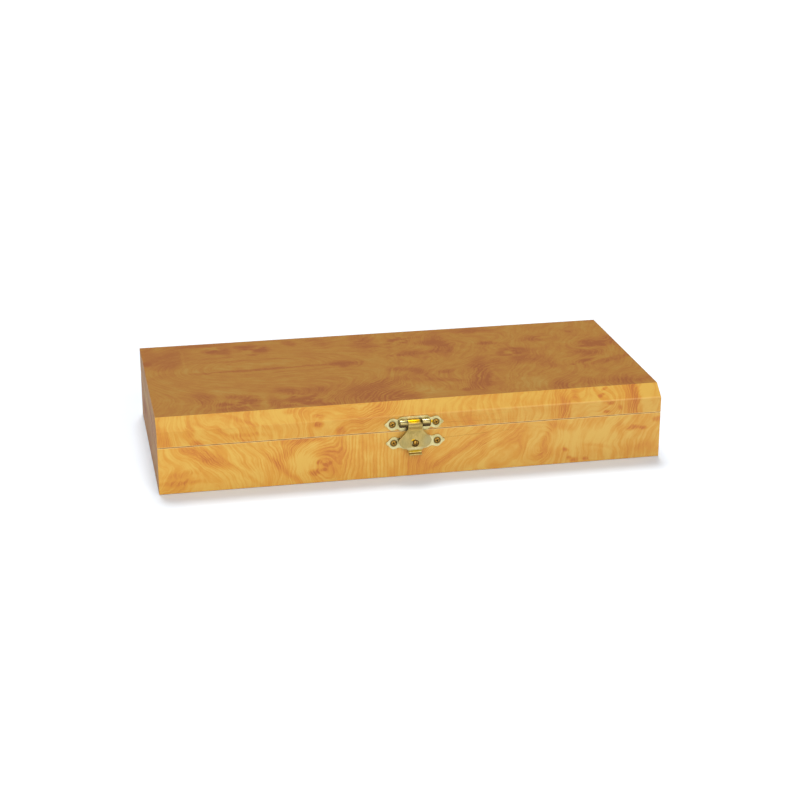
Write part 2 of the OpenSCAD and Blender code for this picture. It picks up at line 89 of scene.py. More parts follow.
class Graph:
    """A material's node tree; each short call adds one node and returns what it puts out."""

    def __init__(self, name):
        self.material = bpy.data.materials.new(name)
        self.material.use_nodes = True
        self.tree = self.material.node_tree
        self.tree.nodes.clear()
        self.out = self.tree.nodes.new("ShaderNodeOutputMaterial")

    def link(self, value, socket):
        if isinstance(value, bpy.types.NodeSocket):
            self.tree.links.new(value, socket)
        elif value is not None:
            socket.default_value = value

    def add(self, kind, inputs, output=0, **settings):
        node = self.tree.nodes.new(kind)
        for key, value in settings.items():
            setattr(node, key, value)
        for key, value in inputs.items():
            self.link(value, node.inputs[key])
        return node.outputs[output]

    def math(self, operation, a, b=0.0, c=0.0, clamp=False):
        return self.add("ShaderNodeMath", {0: a, 1: b, 2: c}, operation=operation, use_clamp=clamp)

    def vec(self, operation, a, b=None, c=None, scale=None, output="Vector"):
        return self.add("ShaderNodeVectorMath", {0: a, 1: b, 2: c, 3: scale}, output, operation=operation)

    def join(self, x, y, z=0.0):
        return self.add("ShaderNodeCombineXYZ", {0: x, 1: y, 2: z})

    def split(self, vector):
        node = self.tree.nodes.new("ShaderNodeSeparateXYZ")
        self.link(vector, node.inputs[0])
        return node.outputs

    def noise(self, vector, scale, detail=2.0, rough=0.5, distortion=0.0, output="Fac"):
        inputs = {0: vector, "Scale": scale, "Detail": detail, "Roughness": rough, "Distortion": distortion}
        return self.add("ShaderNodeTexNoise", inputs, output)

    def voronoi(self, vector, scale):
        return self.add("ShaderNodeTexVoronoi", {"Vector": vector, "Scale": scale}, "Distance")

    def ease(self, value, low, high, to_low=0.0, to_high=1.0):
        inputs = {"Value": value, 1: low, 2: high, 3: to_low, 4: to_high}
        return self.add("ShaderNodeMapRange", inputs, interpolation_type="SMOOTHSTEP")

    def pick(self, factor, a, b):
        """Colour a where factor is 0, and b where it is 1."""
        return self.add("ShaderNodeMix", {0: factor, 6: a, 7: b}, 2, data_type="RGBA")

    def pick_vec(self, factor, a, b):
        """Vector a where factor is 0, and b where it is 1."""
        return self.add("ShaderNodeMix", {0: factor, 4: a, 5: b}, 1, data_type="VECTOR")

    def ramp(self, value, *stops):
        node = self.tree.nodes.new("ShaderNodeValToRGB")
        self.link(value, node.inputs[0])
        elements = node.color_ramp.elements
        while len(elements) < len(stops):
            elements.new(0.5)
        for element, (place, colour) in zip(elements, stops):
            element.position = place
            element.color = colour
        return node.outputs[0]

    def bump(self, height, strength, distance):
        return self.add("ShaderNodeBump", {"Height": height, "Strength": strength, "Distance": distance})

    def surface(self, **inputs):
        """Ends the tree with a Principled shader, and returns the material."""
        names = {key.replace("_", " "): value for key, value in inputs.items()}
        shader = self.add("ShaderNodeBsdfPrincipled", names)
        self.link(shader, self.out.inputs[0])
        return self.material


def rgb(text):
    """A linear colour from an sRGB hex code."""
    parts = [int(text[i:i + 2], 16) / 255 for i in (0, 2, 4)]
    return tuple(p / 12.92 if p <= 0.04045 else ((p + 0.055) / 1.055) ** 2.4 for p in parts) + (1.0,)


def coordinates(g, output="Object"):
    return g.add("ShaderNodeTexCoord", {}, output)


# ---------- burl wrap ----------

# The wrap is worked out in millimetres on flat sheets, which lie one above another in one plane, SHEET_STEP
# apart: a point's place on the plane is its x and its own height plus the sheet's offset.
SHEET_STEP = 100.0
TOP_SHEET, LID_SHEET, BASE_SHEET, END_SHEET, BACK_SHEET = 0.0, 200.0, 300.0, 400.0, 500.0
# The height on a sheet that its upright grain leans about.
SHEET_MIDDLE = 20.0
# How much of its way back a front's height gains on the bevel, as the sheet goes on up it.
BEVEL_GROWTH = 0.51
# Distances between growth lines, in millimetres.
LINE_PITCH = 2.1
TOP_LINE_PITCH = 2.8

# The tables below place soft ovals on a sheet: x, y, half width, half height, turn in degrees, and a size.

# Swirls, which the grain bends round as contour lines bend round hills. Their size is the hill's rise.
SWIRLS = {
    TOP_SHEET: [
        (-140, 40, 14, 22, -15, 12), (-108, 56, 12, 10, 0, -8), (-80, 52, 12, 10, 0, 9),
        (-52, 58, 9, 8, 0, -7), (-28, 52, 12, 10, 0, 9), (-75, 8, 50, 12, 0, 8), (-27, 12, 8, 6, 0, 8),
        (10, 42, 9, 14, 0, -10), (32, 42, 10, 7, 0, 10), (18, 24, 10, 7, 0, 9), (38, 46, 6, 24, -10, 8),
        (66, 60, 14, 8, 0, 7), (78, 14, 9, 9, 0, -12), (99, 36, 8, 8, 0, 8), (133, 22, 9, 11, -30, 10),
        (124, 2, 12, 10, 0, -10), (28, -16, 22, 14, 20, 14), (50, -30, 9, 30, -25, 12),
        (-20, -50, 22, 20, -15, 16), (-98, -44, 14, 10, 0, 10), (-70, -34, 14, 9, 0, -10),
        (-62, -52, 12, 9, 0, 9), (90, -46, 14, 20, 20, 10), (130, -50, 16, 16, 0, 12),
    ],
    LID_SHEET: [
        (-138, 40, 12, 14, 0, 8), (-104, 50, 26, 15, 0, 14), (-60, 38, 12, 8, 0, 10),
        (-20, 48, 16, 10, 30, -6), (18, 40, 20, 8, 0, 6), (60, 44, 24, 10, 0, 5), (92, 38, 7, 16, 0, 8),
        (117, 38, 9, 9, 0, -7), (134, 40, 8, 18, 10, 8),
    ],
    BASE_SHEET: [
        (-137, -3, 13, 12, 0, 14), (-60, 13, 11, 14, 0, 16), (45, 12, 30, 11, 28, 16),
        (78, 12, 9, 12, -30, -9), (120, 16, 22, 10, 0, 5), (-105, 24, 18, 6, -20, -5),
        (14, 2, 12, 9, 30, 8),
    ],
    END_SHEET: [(-40, 14, 15, 12, 0, 11), (6, 34, 13, 10, 0, -10), (44, 10, 16, 12, 0, 11)],
    BACK_SHEET: [
        (-120, 12, 16, 14, 0, 11), (-50, 30, 15, 12, 0, -11), (4, 8, 15, 12, 0, 11),
        (70, 32, 14, 12, 0, -10), (126, 10, 16, 13, 0, 11),
    ],
}
# Where upright grain leans over, and by how much.
LEANS = {
    BASE_SHEET: [(-118, 14, 34, 30, 0, 1.3), (38, 14, 26, 24, 0, -1.1)],
    LID_SHEET: [(-25, 38, 26, 24, 0, -0.9), (-130, 38, 14, 20, 0, 0.5)],
    END_SHEET: [(-30, 20, 30, 30, 0, 1.5), (40, 20, 30, 30, 0, -1.4)],
    BACK_SHEET: [(-90, 20, 40, 30, 0, -1.2), (60, 20, 50, 30, 0, 1.4)],
    TOP_SHEET: [(0, 0, 400, 400, 0, -0.45)],
}
# Where the top's grain lies level.
LEVEL_GRAIN = {TOP_SHEET: [(-80, 12, 62, 34, 0, 1.1), (60, 52, 26, 10, 0, 0.6), (22, -60, 22, 8, 0, 0.6)]}
# Where the grain runs straight up.
STRAIGHT_GRAIN = {BASE_SHEET: [(-22, 14, 19, 40, 0, 1.1)]}
# Dark clouds in the wrap, and light ones where the size is negative.
CLOUDS = {
    TOP_SHEET: [
        (-146, 50, 5, 16, 0, 0.4), (-148, 35, 3, 4, 0, 0.9), (-132, 42, 8, 20, -14, 0.45),
        (-111, 64, 14, 3.5, 0, 0.7), (-104, 49, 6, 4, -20, 0.8), (-97, 52, 3, 9, 0, 0.5),
        (-86, 57, 6, 3.5, 0, 0.8), (-75, 48, 5, 3.5, 20, 0.8), (-82, 41, 3, 2, 0, 0.6),
        (-56, 58, 4, 5, 20, 0.7), (-40, 62, 7, 2.5, 0, 0.6), (-36, 52, 6, 6, -30, 0.4),
        (-9, 50, 7, 17, 0, 0.65), (-75, 12, 44, 1.6, 2, 0.6), (-88, 30, 30, 1.5, 0, 0.35),
        (-100, 38, 14, 1.5, 0, 0.3), (-27, 13, 9, 5, -10, 0.75), (-29, 7, 2.5, 2.5, 0, 0.7),
        (-119, -32, 6, 10, 0, 0.5), (-98, -35, 8, 3, 0, 0.7), (-93, -42, 5, 4, 0, 0.7),
        (-109, -46, 4, 3, 0, 0.7), (-104, -55, 8, 3.5, 0, 0.8), (-79, -50, 3.5, 11, 0, 0.6),
        (-70, -30, 8, 5, -20, 0.85), (-53, -31, 6, 6, 0, 0.8), (-69, -46, 5, 3, 0, 0.8),
        (-61, -44, 4, 3, 0, 0.7), (-58, -53, 6, 3, 0, 0.8), (-72, -56, 4, 2.5, 0, 0.7),
        (-50, -57, 5, 2.5, 0, 0.7), (-26, -44, 17, 15, -10, 0.5), (-8, -26, 20, 5, 28, 0.4),
        (-8, -52, 12, 9, 30, 0.35), (17, 53, 9, 1.5, 15, 0.4), (5, 40, 2, 8, 0, 0.3),
        (3, 22, 1.5, 2, 0, 0.6), (32, 42, 8, 5, 0, 0.85), (18, 24, 8, 5.5, 0, 0.9),
        (32, 25, 4, 2.5, 0, 0.7), (9, 22, 2, 2, 0, 0.6), (24, 14, 2, 2, 0, 0.6), (38, 50, 5, 16, 0, 0.45),
        (40, 30, 6, 14, -25, 0.4), (64, 62, 13, 4.5, 0, 0.7), (67, 34, 6, 3.5, 0, 0.7),
        (99, 37, 5, 5, -20, 0.7), (126, 47, 2, 2, 0, 0.6), (78, 20, 7, 3, 0, 0.6),
        (86, 16, 6, 6, 0, 0.75), (83, 0, 6, 8, 0, 0.7), (72, 12, 3, 4, 0, 0.5), (95, -8, 7, 12, 20, 0.45),
        (70, -2, 10, 10, 0, 0.35), (133, 22, 7, 8, -30, 0.75), (146, 24, 5, 9, -30, 0.55),
        (125, 3, 9, 6, 0, 0.75), (120, -11, 6, 2.5, 30, 0.85), (110, -17, 1.5, 1.5, 0, 0.7),
        (136, -12, 18, 3.5, 25, 0.6), (31, -14, 5, 3, 25, 0.8), (16, -16, 4, 10, 25, 0.45),
        (22, -28, 14, 3, -15, 0.4), (8, -6, 12, 4, -20, 0.4), (53, -4, 5, 14, -10, 0.6),
        (48, -36, 7, 22, -22, 0.6), (60, -28, 1.2, 20, 6, -0.2), (35, -49, 2.5, 2.5, 0, 0.8),
        (92, -52, 6, 9, 0, 0.5), (112, -48, 6, 6, 30, 0.45), (135, -52, 14, 8, 0, 0.5),
        (3, -54, 5, 6, 0, 0.5), (-125, 36, 1, 24, 0, -0.2), (-85, -50, 2, 10, 0, -0.35),
        (12, -46, 10, 8, 0, -0.35), (80, -44, 12, 10, 0, -0.3), (-100, 18, 40, 5, 0, -0.2),
        (-106, 58, 4, 2.5, 0, -0.6), (-108, -24, 8, 5, 0, -0.4), (78, 15, 2.5, 2.5, 0, -0.35),
        (131, 12, 6, 2.5, 0, -0.25),
    ],
    LID_SHEET: [
        (-146, 32, 4, 10, 25, 0.45), (-127.5, 30, 3, 2, 0, 0.7), (-131, 40, 2, 9, 0, 0.4),
        (-112, 35, 18, 1.5, -25, 0.4), (-98, 33, 12, 1.2, -5, 0.35), (-100, 42, 16, 1.2, -22, 0.35),
        (-57, 36.5, 2.6, 1.3, 0, 1.0), (-56.5, 41.5, 3, 1, 0, 0.5), (-73, 46.5, 3, 1.8, 0, 0.6),
        (-62, 44, 8, 3, 0, 0.25), (-44, 31, 2.5, 3, 20, 0.7), (-36, 38, 8, 8, 0, 0.25),
        (-20, 42, 8, 8, 0, 0.25), (30, 33, 12, 4, -10, 0.35), (90, 38, 3.5, 12, 0, 0.6),
        (98, 44, 2, 5, 10, 0.4), (113.5, 42, 1.8, 1.2, 20, 1.0), (116.5, 46.5, 2, 1, 25, 0.8),
        (118.5, 36.5, 1.8, 0.9, 0, 1.0), (116.5, 31.5, 2, 1, 0, 1.0), (124.5, 33, 1.2, 1.6, 0, 0.8),
        (131, 38, 3, 12, 0, 0.55), (135, 40, 2.2, 14, 5, 0.65), (-91, 40, 0.8, 10, 0, -0.5),
        (-138, 44, 5, 5, 0, -0.4), (-80, 44, 8, 6, 0, -0.3), (-50, 38, 6, 5, 0, -0.25),
        (10, 44, 16, 6, 0, -0.35), (106, 36, 5, 8, 0, -0.3), (143, 40, 6, 10, 0, -0.35),
    ],
    BASE_SHEET: [
        (-126, 23, 12, 4, -25, 0.6), (-116, 17, 9, 2.5, -20, 0.5), (-137, 11, 8, 2, 10, 0.35),
        (-137, 6, 14, 1.2, 0, 0.45), (-100, 8, 20, 1.6, -38, 0.4), (-80, 12, 14, 1.8, -45, 0.5),
        (-66, 27, 12, 2, 0, 0.55), (-52, 16, 4, 10, 15, 0.4), (-44, 14, 4, 16, 0, 0.35),
        (-76, 20, 3, 8, -45, 0.3), (-60, 7, 3, 2, 10, 1.0), (-56.5, 13, 1.8, 1.2, 0, 1.0),
        (-53, 11, 1.8, 1, -20, 0.9), (-54.5, 8, 1.6, 1, 0, 0.9), (-50.5, 12, 1.2, 1, 0, 0.8),
        (2, 6, 8, 10, 20, 0.5), (24, 12, 18, 1.8, 28, 0.5), (40, 20, 4, 8, 0, 0.3),
        (60, 20, 8, 8, 10, 0.25), (77, 7, 5, 4, 30, 0.5), (80, 16, 2.5, 8, -15, 0.45),
        (88, 24, 7, 2, -10, 0.35), (91.5, 8.7, 1.5, 1.2, 0, 1.0), (94, 3.5, 1.3, 1, 0, 0.9),
        (97, 2, 2.4, 1.3, 10, 1.0), (104, 2.3, 1.5, 1.2, 0, 1.0), (133, 20, 4, 1.3, 0, 0.8),
        (140, 19, 2, 1.3, 0, 1.0), (148, 24, 2.5, 1.5, 0, 1.0), (125, 20, 2, 6, 0, 0.3),
        (112, 10, 8, 1, -10, 0.3), (140, 6, 12, 4, 0, 0.2), (-66, 13, 6, 7, 0, -0.4),
        (-105, 12, 14, 3, -35, -0.3), (105, 16, 18, 6, 0, -0.35), (50, 10, 20, 3, 28, -0.25),
    ],
    END_SHEET: [
        (-34, 16, 20, 4, 10, 0.7), (30, 30, 24, 3, -8, 0.6), (6, 8, 12, 3, 0, 0.5),
        (-6, 30, 12, 5, 0, -0.4),
    ],
    BACK_SHEET: [
        (-110, 16, 26, 4, 8, 0.6), (-30, 26, 34, 3, -5, 0.6), (60, 12, 30, 4, 6, 0.6),
        (124, 30, 18, 4, 0, 0.6), (-70, 12, 12, 6, 0, -0.4), (28, 30, 16, 5, 0, -0.4),
    ],
}
# Where the growth lines stand out.
FINE_LINES = {
    TOP_SHEET: [
        (-136, 44, 14, 24, -14, 1.6), (-14, -40, 20, 20, -20, 1.6), (50, -34, 12, 26, -25, 1.0),
        (40, 44, 10, 20, -10, 0.7), (142, 20, 10, 16, -30, 0.8), (112, -54, 30, 12, 0, 0.7),
        (-118, -44, 8, 20, 0, 0.7), (-42, -52, 5, 12, 0, 0.6),
    ],
    LID_SHEET: [(-22, 38, 22, 16, 0, 0.6), (92, 38, 8, 16, 0, 0.5), (134, 38, 8, 16, 0, 0.6)],
    BASE_SHEET: [
        (-28, 12, 20, 20, 0, 1.0), (-70, 14, 18, 18, 0, 0.7), (-136, 4, 12, 10, 0, 0.8),
        (30, 16, 34, 16, 0, 0.4),
    ],
}
# Clusters of small eyes: x, y, radius.
EYES = {
    TOP_SHEET: [
        (-104, 52, 6), (-80, 52, 8), (12, 50, 7), (80, 12, 7), (132, 18, 7), (-98, -46, 8), (-62, -46, 9),
    ],
    END_SHEET: [(-38, 14, 7), (28, 28, 6)],
    BACK_SHEET: [(-112, 14, 8), (8, 12, 7), (72, 30, 8)],
}


def sheet_point(g, point, normal):
    """The point on the wrap's sheets, in millimetres, for a point on the case."""
    x, y, z = g.split(g.vec("SCALE", point, scale=1 / MM))
    nx, ny, nz = g.split(normal)
    level = g.math("GREATER_THAN", g.math("ABSOLUTE", nz), 0.9)
    end = g.math("GREATER_THAN", g.math("ABSOLUTE", nx), 0.7)
    back = g.math("GREATER_THAN", ny, 0.3)
    lid = g.math("GREATER_THAN", z, SEAM_HEIGHT)
    climbed = g.math("MULTIPLY_ADD", g.math("SUBTRACT", y, FRONT_Y / MM), BEVEL_GROWTH, z)
    offset = g.math("MULTIPLY_ADD", lid, LID_SHEET - BASE_SHEET, BASE_SHEET)
    front = g.join(x, g.math("ADD", climbed, offset))
    back_face = g.join(x, g.math("ADD", z, BACK_SHEET))
    turned = g.math("MULTIPLY", y, g.math("SIGN", nx))
    end_face = g.join(turned, g.math("ADD", z, END_SHEET))
    place = g.pick_vec(back, front, back_face)
    place = g.pick_vec(end, place, end_face)
    return g.pick_vec(level, place, g.join(x, y, 0.0))


def all_of(features):
    """A table's rows, each moved to its sheet's place on the plane."""
    return [(x, y + sheet, *rest) for sheet, rows in features.items() for x, y, *rest in rows]


def soft_ovals(g, point, features):
    """The sum of soft ovals at a flat point.

    The sum travels in the point's third place, so each oval waits for the one before, and few values are
    held at once. A third scale of 0, or a huge one in a mapping, keeps the sum out of the distance.
    """
    for x, y, half_w, half_h, turn, size in features:
        if turn:
            inputs = {"Vector": point, "Location": (x, y, 0), "Rotation": (0, 0, math.radians(turn)),
                      "Scale": (half_w, half_h, 1e9)}
            local = g.add("ShaderNodeMapping", inputs, vector_type="TEXTURE")
        else:
            shrink, shift = (1 / half_w, 1 / half_h, 0), (-x / half_w, -y / half_h, 0)
            local = g.vec("MULTIPLY_ADD", point, shrink, shift)
        share = g.ease(g.vec("LENGTH", local, output="Value"), 1.75, 0.2)
        point = g.vec("MULTIPLY_ADD", share, (0, 0, size), point)
    return g.split(point)[2]


def grain_height(g, flat, bent, quick, on_top):
    """The grain's height, whose contour lines are the growth lines."""
    bent_u, bent_v, _ = g.split(bent)
    sheet = g.math("FLOOR", g.math("DIVIDE", g.split(flat)[1], SHEET_STEP))
    middle_v = g.math("MULTIPLY_ADD", sheet, SHEET_STEP, SHEET_MIDDLE)
    middle_v = g.math("MULTIPLY", middle_v, g.math("SUBTRACT", 1.0, on_top))
    lean = soft_ovals(g, flat, all_of(LEANS))
    across = g.math("MULTIPLY_ADD", g.math("SUBTRACT", bent_v, middle_v), lean, bent_u)
    along = g.math("MULTIPLY_ADD", bent_u, 0.12, bent_v)
    level = g.math("MINIMUM", soft_ovals(g, flat, all_of(LEVEL_GRAIN)), 1.0)
    height = g.math("MULTIPLY_ADD", g.math("SUBTRACT", along, across), level, across)
    height = g.math("ADD", height, soft_ovals(g, bent, all_of(SWIRLS)))
    straight = g.math("MINIMUM", soft_ovals(g, flat, all_of(STRAIGHT_GRAIN)), 1.0)
    sideways = g.split(g.vec("ADD", flat, g.vec("SCALE", quick, scale=1.6)))[0]
    return g.math("MULTIPLY_ADD", g.math("SUBTRACT", sideways, height), straight, height)


def fine_lines(g, flat, height, on_top):
    """Fine growth lines, which fade in and out."""
    tremble = g.math("MULTIPLY", g.noise(flat, 0.45), 2.4)
    rate, top_rate = 2 * math.pi / LINE_PITCH, 2 * math.pi / TOP_LINE_PITCH
    phase = g.math("MULTIPLY_ADD", height, g.math("MULTIPLY_ADD", on_top, top_rate - rate, rate), tremble)
    share = g.ease(g.noise(flat, 0.055), 0.42, 0.66, 0.10, 0.8)
    share = g.math("ADD", share, soft_ovals(g, flat, all_of(FINE_LINES)))
    share = g.math("MINIMUM", share, g.math("MULTIPLY_ADD", on_top, 0.6, 1.4))
    return g.math("MULTIPLY", g.ease(g.math("SINE", phase), -0.4, 1.0), share)


def eye_tone(g, flat, quick, tone):
    """The tone, darker in the small spots of the clusters of eyes and in the rings round them."""
    clusters = [(x, y, radius, radius, 0, 1.3) for x, y, radius in all_of(EYES)]
    mask = g.math("MINIMUM", soft_ovals(g, flat, clusters), 1.0)
    squashed = g.vec("MULTIPLY", g.vec("ADD", flat, g.vec("SCALE", quick, scale=2.5)), (0.75, 1.1, 1.0))
    spot = g.voronoi(squashed, 0.23)
    tone = g.math("MULTIPLY_ADD", g.math("MULTIPLY", g.ease(spot, 0.42, 0.14), mask), 0.55, tone)
    return g.math("MULTIPLY_ADD", g.math("MULTIPLY", g.ease(spot, 0.75, 0.35), mask), 0.30, tone)


def painted_face_light(g, colour, on_top):
    """The colour with painted light and shade for each face: upright faces and the bevel lighter, the top
    and the ends darker, the lid's upright faces a little darker than the base's, and the fronts and bevel
    fading darker towards the right as a painted falloff of the light.
    """
    x, _, z = g.split(coordinates(g))
    nx, _, nz = g.split(g.vec("ABSOLUTE", coordinates(g, "Normal")))
    rightward = g.ease(x, -HALF_WIDTH, HALF_WIDTH)
    on_lid = g.math("GREATER_THAN", g.math("DIVIDE", z, MM), SEAM_HEIGHT)
    # painted light: upright faces much lighter than the top, darker towards the right
    tint = g.pick_vec(rightward, (1.33, 1.345, 1.47), (1.21, 1.24, 1.58))
    lid_share = g.pick_vec(on_lid, (1.0, 1.0, 1.0), (0.95, 0.915, 0.87))
    tint = g.pick_vec(on_top, g.vec("MULTIPLY", tint, lid_share), (0.85, 0.84, 1.02))
    on_bevel = g.math("MULTIPLY", g.math("GREATER_THAN", nz, 0.3), g.math("LESS_THAN", nz, 0.9))
    bevel_tint = g.pick_vec(rightward, (1.27, 1.26, 1.25), (1.21, 1.19, 1.17))
    tint = g.pick_vec(on_bevel, tint, bevel_tint)
    # painted shade on the ends
    tint = g.pick_vec(g.math("GREATER_THAN", nx, 0.7), tint, (0.865, 0.70, 0.48))
    return g.vec("MULTIPLY", colour, tint)


def painted_seam_and_fold_highlights(g, colour, flat):
    """The colour with a patchy pale line as painted highlight on the upright rims by the seam, and a faint
    painted highlight along the fold at the bevel, stronger towards the right.
    """
    x, y, z = g.split(coordinates(g))
    _, _, nz = g.split(g.vec("ABSOLUTE", coordinates(g, "Normal")))
    height = g.math("DIVIDE", z, MM)
    from_seam = g.math("ABSOLUTE", g.math("SUBTRACT", height, SEAM_HEIGHT))
    # painted highlight, in patches, on the upright rims within half a millimetre of the seam
    seam_highlight = g.math("MULTIPLY", g.ease(from_seam, 0.55, 0.25), g.noise(flat, 0.3, 2.0, 0.6))
    colour = g.pick(g.math("MULTIPLY", seam_highlight, g.math("LESS_THAN", nz, 0.9)), colour, rgb("F2D398"))
    # painted highlight along the fold below the bevel, growing towards the right
    from_fold = g.math("ABSOLUTE", g.math("SUBTRACT", height, FOLD_HEIGHT))
    rightward = g.ease(x, -HALF_WIDTH, HALF_WIDTH)
    fold = g.math("MULTIPLY", g.ease(from_fold, 0.6, 0.2, 0.0, 0.14), rightward)
    fold = g.math("MULTIPLY", fold, g.math("LESS_THAN", y, FRONT_Y + 2 * MM))
    return g.pick(fold, colour, rgb("F6CE8C"))


def burl_material():
    """Burl-grain wrap: growth lines that bend round swirls, dark clouds, and clusters of eyes."""
    g = Graph("burl_wrap")
    flat = sheet_point(g, coordinates(g), coordinates(g, "Normal"))
    on_top = g.math("LESS_THAN", g.split(flat)[1], SHEET_STEP)

    # slow and quick wander of the grain, from colour noise about its middle grey
    grey = (0.5, 0.5, 0.5)
    slow = g.vec("SUBTRACT", g.noise(flat, 0.035, output="Color"), grey)
    quick = g.vec("SUBTRACT", g.noise(flat, 0.13, output="Color"), grey)
    near = g.vec("ADD", flat, g.vec("MULTIPLY", quick, (3.6, 3.6, 0.0)))
    bent = g.vec("ADD", near, g.vec("MULTIPLY", slow, (14.0, 14.0, 0.0)))
    bent_u, bent_v, _ = g.split(bent)
    height = grain_height(g, flat, bent, quick, on_top)

    # broad uneven bands, fine lines and fibres, all along the growth lines
    stretched = g.join(g.math("MULTIPLY", bent_u, 0.04), g.math("MULTIPLY", height, 0.34),
                       g.math("MULTIPLY", bent_v, 0.04))
    bands = g.noise(stretched, 1.0, 3.0, 0.6)
    fine = fine_lines(g, flat, height, on_top)
    combed = g.join(g.math("MULTIPLY", bent_u, 0.5), g.math("MULTIPLY", height, 2.2), 3.0)
    fibre = g.noise(combed, 1.0, 3.0, 0.6)
    tone = g.math("MULTIPLY_ADD", g.ease(bands, 0.38, 0.64), 0.26, g.math("MULTIPLY", fine, 0.17))
    tone = g.math("MULTIPLY_ADD", g.math("SUBTRACT", fibre, 0.5), 0.22, tone)
    tone = g.math("MULTIPLY", tone, g.math("MULTIPLY_ADD", on_top, -0.10, 1.0))

    # dark clouds, streaked along the grain, the top darkened as painted shade, mottle and eyes
    streaks = g.math("MULTIPLY_ADD", fine, 0.35, g.ease(fibre, 0.32, 0.68, 0.30, 0.90))
    tone = g.math("MULTIPLY_ADD", soft_ovals(g, near, all_of(CLOUDS)), streaks, tone)
    # painted shade: the whole top shifted to a deeper tone
    tone = g.math("MULTIPLY_ADD", on_top, 0.21, tone)
    mottle = g.noise(flat, 0.09, 3.0, 0.6)
    tone = g.math("MULTIPLY_ADD", g.math("SUBTRACT", mottle, 0.5), 0.6, tone)
    tone = g.math("ADD", eye_tone(g, flat, quick, tone), 0.05, clamp=True)

    colour = g.ramp(tone, (0.0, (0.440, 0.262, 0.048, 1)), (0.33, (0.410, 0.192, 0.027, 1)),
                    (0.66, (0.370, 0.142, 0.023, 1)), (1.0, (0.315, 0.103, 0.020, 1)))
    # painted light and shade per face, and painted highlights at the seam and along the bevel's fold
    colour = painted_seam_and_fold_highlights(g, painted_face_light(g, colour, on_top), flat)
    skin_grain = g.noise(coordinates(g), 900.0, 2.0, 0.6)
    normal = g.bump(skin_grain, 0.12, 0.0001)
    shine = g.ease(g.math("MULTIPLY_ADD", tone, 0.4, mottle), 0.2, 1.1, 0.46, 0.58)
    return g.surface(Base_Color=colour, Roughness=shine, Normal=normal, Specular_IOR_Level=0.15)


# ---------- other materials ----------

def board_material():
    """Brown core board, with its chips showing."""
    g = Graph("core_board")
    point = coordinates(g)
    chips = g.noise(g.vec("MULTIPLY", point, (1.0, 1.0, 4.0)), 700.0, 4.0, 0.7)
    speck = g.voronoi(point, 900.0)
    colour = g.ramp(chips, (0.3, rgb("6E4F33")), (0.55, rgb("93704B")), (0.75, rgb("B08D63")))
    normal = g.bump(g.math("ADD", chips, g.math("MULTIPLY", speck, 0.4)), 0.5, 0.0002)
    return g.surface(Base_Color=colour, Roughness=0.85, Normal=normal)


def card_material():
    """Grey card of the cushions' boards."""
    g = Graph("grey_card")
    point = coordinates(g)
    pulp = g.noise(point, 500.0, 4.0, 0.7)
    colour = g.ramp(pulp, (0.3, rgb("6D675E")), (0.7, rgb("8F887C")))
    return g.surface(Base_Color=colour, Roughness=0.9, Normal=g.bump(pulp, 0.3, 0.0001))


def velvet_material():
    """Navy velvet, brushed and crushed in soft patches."""
    g = Graph("navy_velvet")
    point = coordinates(g)
    brushed = g.noise(g.vec("MULTIPLY", point, (1.0, 1.6, 1.0)), 38.0, 3.0, 0.55)
    pile = g.noise(point, 2600.0, 2.0, 0.7)
    crushed = g.noise(g.vec("MULTIPLY", point, (1.0, 2.2, 1.0)), 300.0, 3.0, 0.6, distortion=0.8)
    shade = g.math("MULTIPLY_ADD", crushed, 0.35, g.math("MULTIPLY", brushed, 0.45))
    shade = g.math("MULTIPLY_ADD", pile, 0.20, shade)
    colour = g.ramp(shade, (0.35, rgb("0F1740")), (0.52, rgb("1E2B66")), (0.68, rgb("3D4C96")))
    relief = g.math("MULTIPLY_ADD", crushed, 1.2, g.math("MULTIPLY_ADD", brushed, 1.5, pile))
    normal = g.bump(relief, 0.6, 0.0003)
    return g.surface(Base_Color=colour, Roughness=0.95, Normal=normal, Sheen_Weight=0.7,
                     Sheen_Roughness=0.35, Sheen_Tint=rgb("6E7CC0"), Specular_IOR_Level=0.15)


def cord_material():
    """Twisted thread of the tray's piping and stitches, a little lighter than its velvet."""
    g = Graph("blue_cord")
    point = coordinates(g)
    x, y, _ = g.split(point)
    ply = g.math("SINE", g.math("MULTIPLY", g.math("ADD", x, y), 2 * math.pi / 0.0012))
    hairs = g.noise(point, 2400.0, 2.0, 0.6)
    colour = g.ramp(g.math("MULTIPLY_ADD", ply, 0.25, hairs), (0.3, rgb("2B3A80")), (0.8, rgb("5F70B8")))
    normal = g.bump(g.math("ADD", ply, hairs), 0.5, 0.0002)
    return g.surface(Base_Color=colour, Roughness=0.6, Normal=normal, Sheen_Weight=0.4, Sheen_Roughness=0.4,
                     Specular_IOR_Level=0.3)


def satin_material():
    """Ivory satin, with a fine weave and slubs."""
    g = Graph("ivory_satin")
    point = coordinates(g)
    weft = g.math("SINE", g.math("MULTIPLY", g.split(point)[0], 2 * math.pi / 0.0005))
    warp = g.math("SINE", g.math("MULTIPLY", g.split(point)[1], 2 * math.pi / 0.0009))
    slub = g.noise(g.vec("MULTIPLY", point, (0.15, 1.0, 1.0)), 900.0, 2.0, 0.6)
    weave = g.math("MULTIPLY_ADD", warp, 0.4, g.math("MULTIPLY_ADD", weft, 0.2, slub))
    cloudy = g.noise(point, 30.0)
    colour = g.ramp(g.math("MULTIPLY_ADD", slub, 0.4, g.math("MULTIPLY", cloudy, 0.6)),
                    (0.3, rgb("B3A684")), (0.7, rgb("C9BE9E")))
    return g.surface(Base_Color=colour, Roughness=0.34, Normal=g.bump(weave, 0.15, 0.0001),
                     Anisotropic=0.6, Sheen_Weight=0.3, Sheen_Roughness=0.3, Specular_IOR_Level=0.55)


